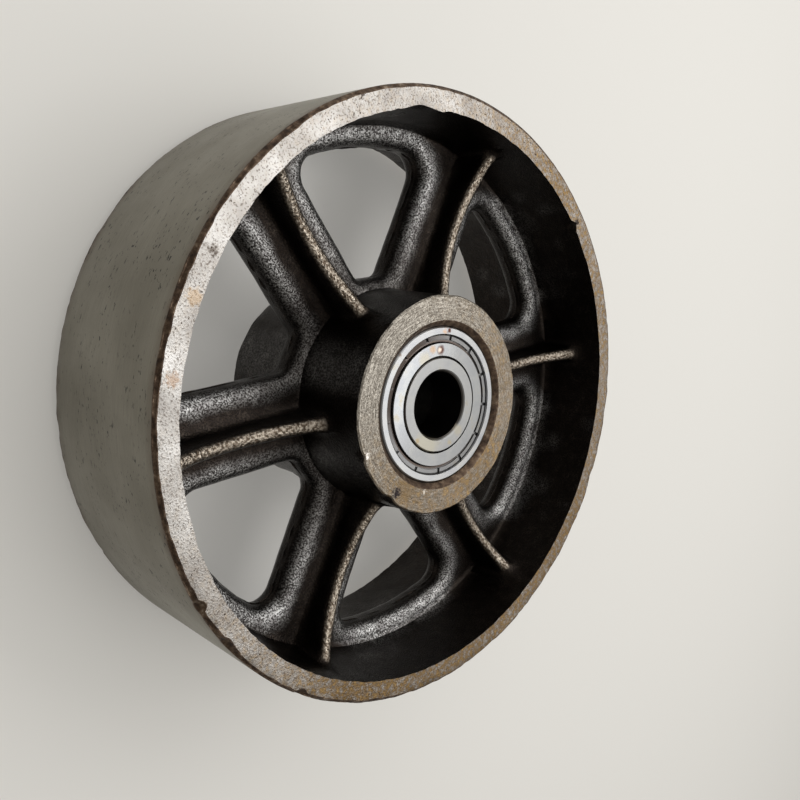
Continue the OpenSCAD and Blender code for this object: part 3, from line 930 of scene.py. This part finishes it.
def ground_bearing_steel(look):
    """Hardened and ground bearing steel: bright and even, under a thin clouded film of old grease."""
    material, add = new_finish("ground_bearing_steel")
    place, radius = place_and_radius(add)
    film = add("TexNoise", place, per_metre(5), 3, EVEN)
    fine = add("TexNoise", place, per_metre(0.25), 2, EVEN)
    colour = add("ValToRGB", film, stops=((0.35, "#9b9c9e"), (0.62, "#a8a8a7"), (0.78, "#a39d8d")))
    inner_ring = add("MapRange", radius, *INNER_RINGS)
    duller = add("MapRange", radius, *INNER_RINGS, 0, 0.45)
    # Painted shade, in a dark brown, in the bore, in the gap under the shields' edge and in the outer
    # corner
    bore = add("MapRange", radius, *BORES, 0, 0.85)
    gap = add("Math", add("MapRange", radius, *SHIELD_GAPS, 0, 0.9), inner_ring, operation="MULTIPLY")
    corner = add("MapRange", radius, *RING_CORNERS, 0, 0.75)
    for cover, over in ((duller, "#6e6d69"), (bore, "#342e28"), (gap, "#342e28"), (corner, "#342e28")):
        colour = add("Mix", cover, colour, over, data_type="RGBA")
    colour = marked(add, place, colour, RING_MARKS, 0.35)
    normal = add("Bevel", look.edge, samples=6)
    normal = add("Bump", Height=fine, Distance=0.006 * MM, Strength=0.5, Normal=normal)
    rough = add("MapRange", film, 0.35, 0.7, 0.28, 0.36)
    shader = add("BsdfPrincipled", Base_Color=colour, Metallic=1.0, Roughness=rough, Normal=normal)
    add("OutputMaterial", shader)
    return material


def pressed_shield_steel(look):
    """Bright rolled sheet, pressed to shape: smooth, with a brown film and painted shade in its step,
    painted shade at its rim and a drop of rust on the front one. Painted shade darkens it least on the side
    that faces the photograph's left, where its rim is painted darkest."""
    material, add = new_finish("pressed_shield_steel")
    place, radius = place_and_radius(add)
    film = add("TexNoise", place, per_metre(4), 3, EVEN)
    fine = add("TexNoise", place, per_metre(0.3), 2, EVEN)
    colour = add("ValToRGB", film, stops=((0.4, "#9c9ea1"), (0.62, "#a7a8a8"), (0.8, "#a49b86")))
    # Painted shade: over the sheet, least on the side that faces the photograph's left; in the step, with a
    # brown film; and at the rim, most on that left side
    left = add("VectorMath", place, (-0.94, -0.34, 0), operation="DOT_PRODUCT")
    left = add("MapRange", add("Math", left, radius, operation="DIVIDE"), 0.1, 0.85)
    painted_side_shade = add("Math", left, -0.5, 0.5, operation="MULTIPLY_ADD")
    inside, outside = (add("MapRange", radius, *side) for side in (STEP_IN, STEP_OUT))
    step = add("Math", inside, outside, operation="MULTIPLY")
    step = add("Math", step, look.grime_and_shade, operation="MULTIPLY")
    edge = add("Math", left, 0.65, 0.3, operation="MULTIPLY_ADD")
    edge = add("Math", edge, add("MapRange", radius, *SHIELD_RIMS), operation="MULTIPLY")
    for cover, over in ((painted_side_shade, "#6f6e6b"), (step, "#43342a"), (edge, "#2e241d")):
        colour = add("Mix", cover, colour, over, data_type="RGBA")
    colour = marked(add, place, colour, SHIELD_MARKS, 0.25)
    normal = add("Bevel", look.edge, samples=6)
    normal = add("Bump", Height=fine, Distance=0.005 * MM, Strength=0.5, Normal=normal)
    rough = add("MapRange", painted_side_shade, 0.4, 0.75, 0.26, 0.34)
    shader = add("BsdfPrincipled", Base_Color=colour, Metallic=1.0, Roughness=rough, Normal=normal)
    add("OutputMaterial", shader)
    return material


def plain_steel(name, first, second, rough, size):
    """The finish of a piece inside the bearing, clouded between two colours over size millimetres."""
    material, add = new_finish(name)
    place = add("TexCoord", output="Object")
    cloud, fine = (add("TexNoise", place, per_metre(grain), 3, EVEN) for grain in (size, 0.4))
    colour = add("ValToRGB", cloud, stops=((0.35, first), (0.65, second)))
    bump = add("Bump", Height=fine, Distance=0.01 * MM, Strength=0.4)
    shader = add("BsdfPrincipled", Base_Color=colour, Metallic=1.0, Roughness=rough, Normal=bump)
    add("OutputMaterial", shader)
    return material


class WHEEL_OT_bearings(bpy.types.Operator):
    """Gives the bearings' pieces and the spacer tube their steel finishes"""
    bl_idname = "castor_wheel.bearings"
    bl_label = "Bearings"

    def execute(self, context):
        look = context.scene.castor_bearing
        steel = ground_bearing_steel(look)
        others = {
            "shield": pressed_shield_steel(look),
            "cage": plain_steel("pressed_strip_steel", "#8a8478", "#a09a8c", 0.35, 3),
            "ball": plain_steel("lapped_ball_steel", "#c8cacc", "#d2d4d5", 0.08, 8),
            "spacer": plain_steel("drawn_tube_steel", "#4a4946", "#66645e", 0.45, 5),
        }
        for name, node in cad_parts.items():
            if name == "wheel_casting":
                continue
            finish = next((other for word, other in others.items() if word in name), steel)
            node.data.materials.clear()
            node.data.materials.append(finish)
        return {"FINISHED"}


def pale_floor_paint(look):
    """Matt pale paint. What the camera, gloss and glass see of it keeps the share look.lift of its colour
    in shadow too, and the rest of its colour takes light as paint does."""
    material, add = new_finish("plain_pale_floor")
    seen = 0
    for ray in ("Camera", "Glossy", "Transmission"):
        seen = add("Math", seen, add("LightPath", output=f"Is {ray} Ray"), operation="MAXIMUM")
    lit, dimmed = (*look.floor, 1), (*(c * (1 - look.lift) for c in look.floor), 1)
    colour = add("Mix", seen, lit, dimmed, data_type="RGBA")
    glow = add("Math", seen, look.lift, operation="MULTIPLY")
    shader = add(
        "BsdfPrincipled", Base_Color=colour, Roughness=0.8, Emission_Color=lit, Emission_Strength=glow)
    add("OutputMaterial", shader)
    return material


def looking(place, target):
    """The matrix of a camera or lamp at a place that looks at a target."""
    turn = (target - place).to_track_quat("-Z", "Y").to_matrix().to_4x4()
    return Matrix.Translation(place) @ turn


class WHEEL_OT_stage(bpy.types.Operator):
    """Makes the floor, the lights and the camera"""
    bl_idname = "castor_wheel.stage"
    bl_label = "Stage"

    def execute(self, context):
        look = context.scene.castor_stage
        mesh = bpy.data.meshes.new("floor")
        corners = [
            (x * FLOOR_REACH, y * FLOOR_REACH, CAD_BOX[0].z - FLOOR_GAP)
            for x, y in ((-1, -1), (1, -1), (1, 1), (-1, 1))]
        mesh.from_pydata(corners, [], [(0, 1, 2, 3)])
        floor = bpy.data.objects.new("floor", mesh)
        context.scene.collection.objects.link(floor)
        mesh.materials.append(pale_floor_paint(look))

        world = bpy.data.worlds.new("studio")
        world.use_nodes = True
        background = world.node_tree.nodes["Background"].inputs
        background["Color"].default_value = linear(WORLD_COLOUR)
        background["Strength"].default_value = WORLD_STRENGTH
        context.scene.world = world

        camera = bpy.data.objects.new("camera", bpy.data.cameras.new("camera"))
        context.scene.collection.objects.link(camera)
        camera.data.lens = look.lens
        camera.data.sensor_width = 36
        camera.data.clip_start = 0.01
        rolled = Matrix.Rotation(math.radians(CAMERA_ROLL), 4, "Z")
        camera.matrix_world = looking(Vector(CAMERA_AT) * MM, Vector(CAMERA_TO) * MM) @ rolled
        context.scene.camera = camera
        for name, place, size, power in LIGHTS:
            lamp = bpy.data.lights.new(name, "AREA")
            lamp.shape, lamp.size, lamp.energy = "SQUARE", size, power
            holder = bpy.data.objects.new(name, lamp)
            context.scene.collection.objects.link(holder)
            holder.matrix_world = looking(Vector(place) * MM, Vector())
        context.scene.view_settings.view_transform = "Standard"
        return {"FINISHED"}


class WHEEL_PT_panel(bpy.types.Panel):
    """Lists the wheel's steps"""
    bl_idname = "WHEEL_PT_panel"
    bl_label = "Castor Wheel"
    bl_space_type = "VIEW_3D"
    bl_region_type = "UI"
    bl_category = "Castor Wheel"

    def draw(self, context):
        for operator in OPERATORS:
            self.layout.operator(operator.bl_idname)


OPERATORS = (WHEEL_OT_casting, WHEEL_OT_bearings, WHEEL_OT_stage)
CLASSES = (CastingLook, BearingLook, StageLook, *OPERATORS, WHEEL_PT_panel)


def register():
    """Registers the classes and gives the scene their settings."""
    for item in CLASSES:
        bpy.utils.register_class(item)
    scene = bpy.types.Scene
    scene.castor_casting = bpy.props.PointerProperty(type=CastingLook)
    scene.castor_bearing = bpy.props.PointerProperty(type=BearingLook)
    scene.castor_stage = bpy.props.PointerProperty(type=StageLook)


def unregister():
    """Takes the classes and the scene's settings away again."""
    for item in reversed(CLASSES):
        bpy.utils.unregister_class(item)
    for name in ("castor_casting", "castor_bearing", "castor_stage"):
        delattr(bpy.types.Scene, name)


def main():
    """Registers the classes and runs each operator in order."""
    register()
    bpy.ops.castor_wheel.casting()
    bpy.ops.castor_wheel.bearings()
    bpy.ops.castor_wheel.stage()


if __name__ == "__main__":
    main()
